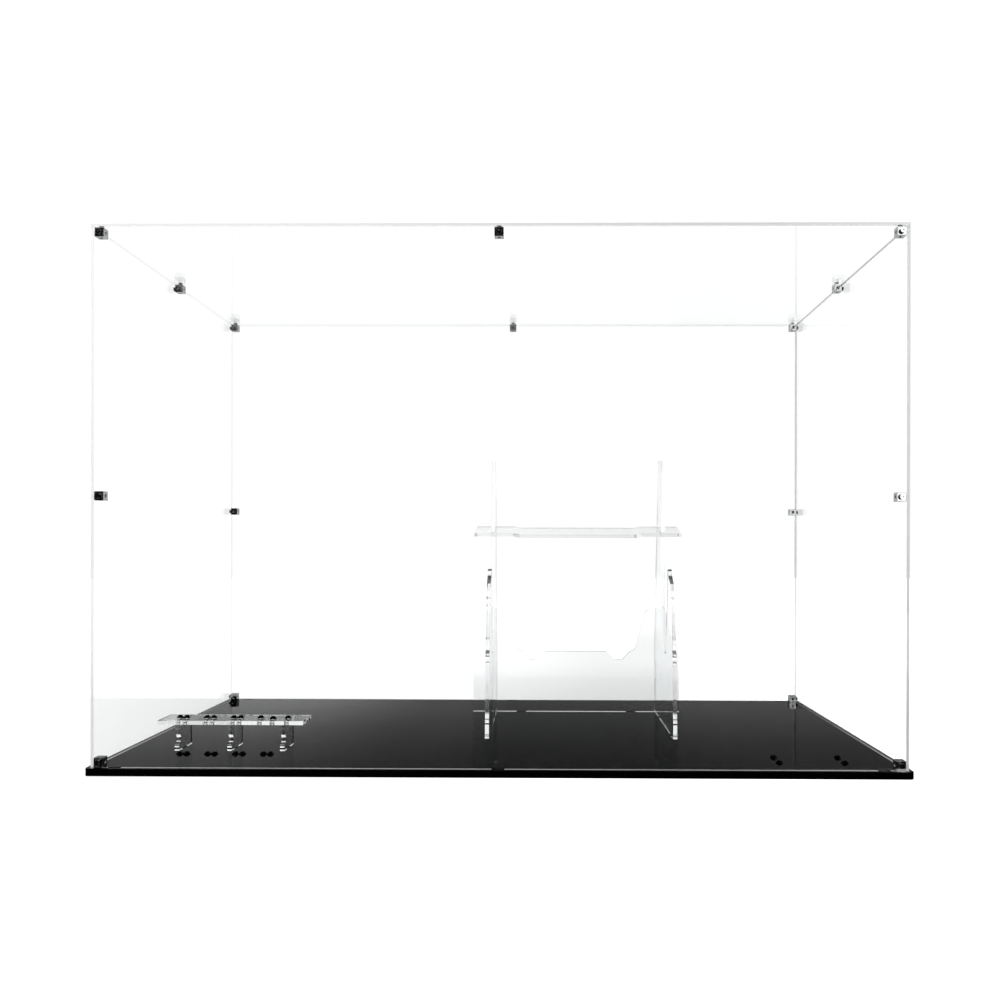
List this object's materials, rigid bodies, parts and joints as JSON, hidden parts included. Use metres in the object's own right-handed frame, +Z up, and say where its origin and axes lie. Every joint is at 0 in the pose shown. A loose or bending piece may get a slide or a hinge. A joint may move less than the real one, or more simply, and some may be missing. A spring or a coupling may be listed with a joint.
{
  "type": "display case",
  "caption": "Clear acrylic display cover that lifts off a glossy black base, with an interlocking clear model stand, a raised figure shelf and studs for toy figures.",
  "frame": {"origin": "bottom centre of the base, on the surface the case stands on", "axes": "+Z up, +X to the right of someone facing the case, -Y towards them"},
  "size_m": [0.885, 0.428, 0.592],
  "materials": {
    "clear_acrylic": "polished, laser-cut clear acrylic sheet, 3 mm in the cover and 5 mm in the stand and shelf",
    "black_acrylic": "high-gloss black acrylic sheet",
    "cube_metal": "polished nickel-plated aluminium cube",
    "screw_steel": "bright countersunk hex-socket screw",
    "stud_black": "gloss black acrylic stud"
  },
  "bodies": {
    "base": {"base_lower_plate": "black_acrylic", "base_upper_plate": "black_acrylic", "front_figure_studs_1": "stud_black", "front_figure_studs_2": "stud_black", "front_figure_studs_3": "stud_black", "front_figure_studs_4": "stud_black", "plinth_studs_left": "stud_black", "plinth_studs_right": "stud_black"},
    "cover": {"back_panel": "clear_acrylic", "back_screws": "screw_steel", "cube_back_left_bottom": "cube_metal", "cube_back_left_middle": "cube_metal", "cube_back_left_top": "cube_metal", "cube_back_right_bottom": "cube_metal", "cube_back_right_middle": "cube_metal", "cube_back_right_top": "cube_metal", "cube_back_top_centre": "cube_metal", "cube_front_left_bottom": "cube_metal", "cube_front_left_middle": "cube_metal", "cube_front_left_top": "cube_metal", "cube_front_right_bottom": "cube_metal", "cube_front_right_middle": "cube_metal", "cube_front_right_top": "cube_metal", "cube_front_top_centre": "cube_metal", "cube_left_top_centre": "cube_metal", "cube_right_top_centre": "cube_metal", "front_panel": "clear_acrylic", "front_screws": "screw_steel", "left_panel": "clear_acrylic", "left_screws": "screw_steel", "right_panel": "clear_acrylic", "right_screws": "screw_steel", "top_panel": "clear_acrylic", "top_screws": "screw_steel"},
    "model_stand": {"stand_cradle_plate": "clear_acrylic", "stand_left_plate": "clear_acrylic", "stand_right_plate": "clear_acrylic", "stand_tilt_bar": "clear_acrylic"},
    "figure_shelf": {"shelf_figure_studs_1": "stud_black", "shelf_figure_studs_2": "stud_black", "shelf_figure_studs_3": "stud_black", "shelf_leg_left": "clear_acrylic", "shelf_leg_middle": "clear_acrylic", "shelf_leg_right": "clear_acrylic", "shelf_plate": "clear_acrylic", "shelf_single_stud_1": "stud_black", "shelf_single_stud_2": "stud_black", "shelf_single_stud_3": "stud_black"}
  },
  "joints": [
    {"name": "cover_lift", "type": "slide", "parent": "base", "child": "cover", "axis": [0, 0, 1], "range_m": [0, 0.42]},
    {"name": "stand_lift", "type": "slide", "parent": "base", "child": "model_stand", "axis": [0, 0, 1], "range_m": [0, 0.15]},
    {"name": "shelf_lift", "type": "slide", "parent": "base", "child": "figure_shelf", "axis": [0, 0, 1], "range_m": [0, 0.1]}
  ]
}
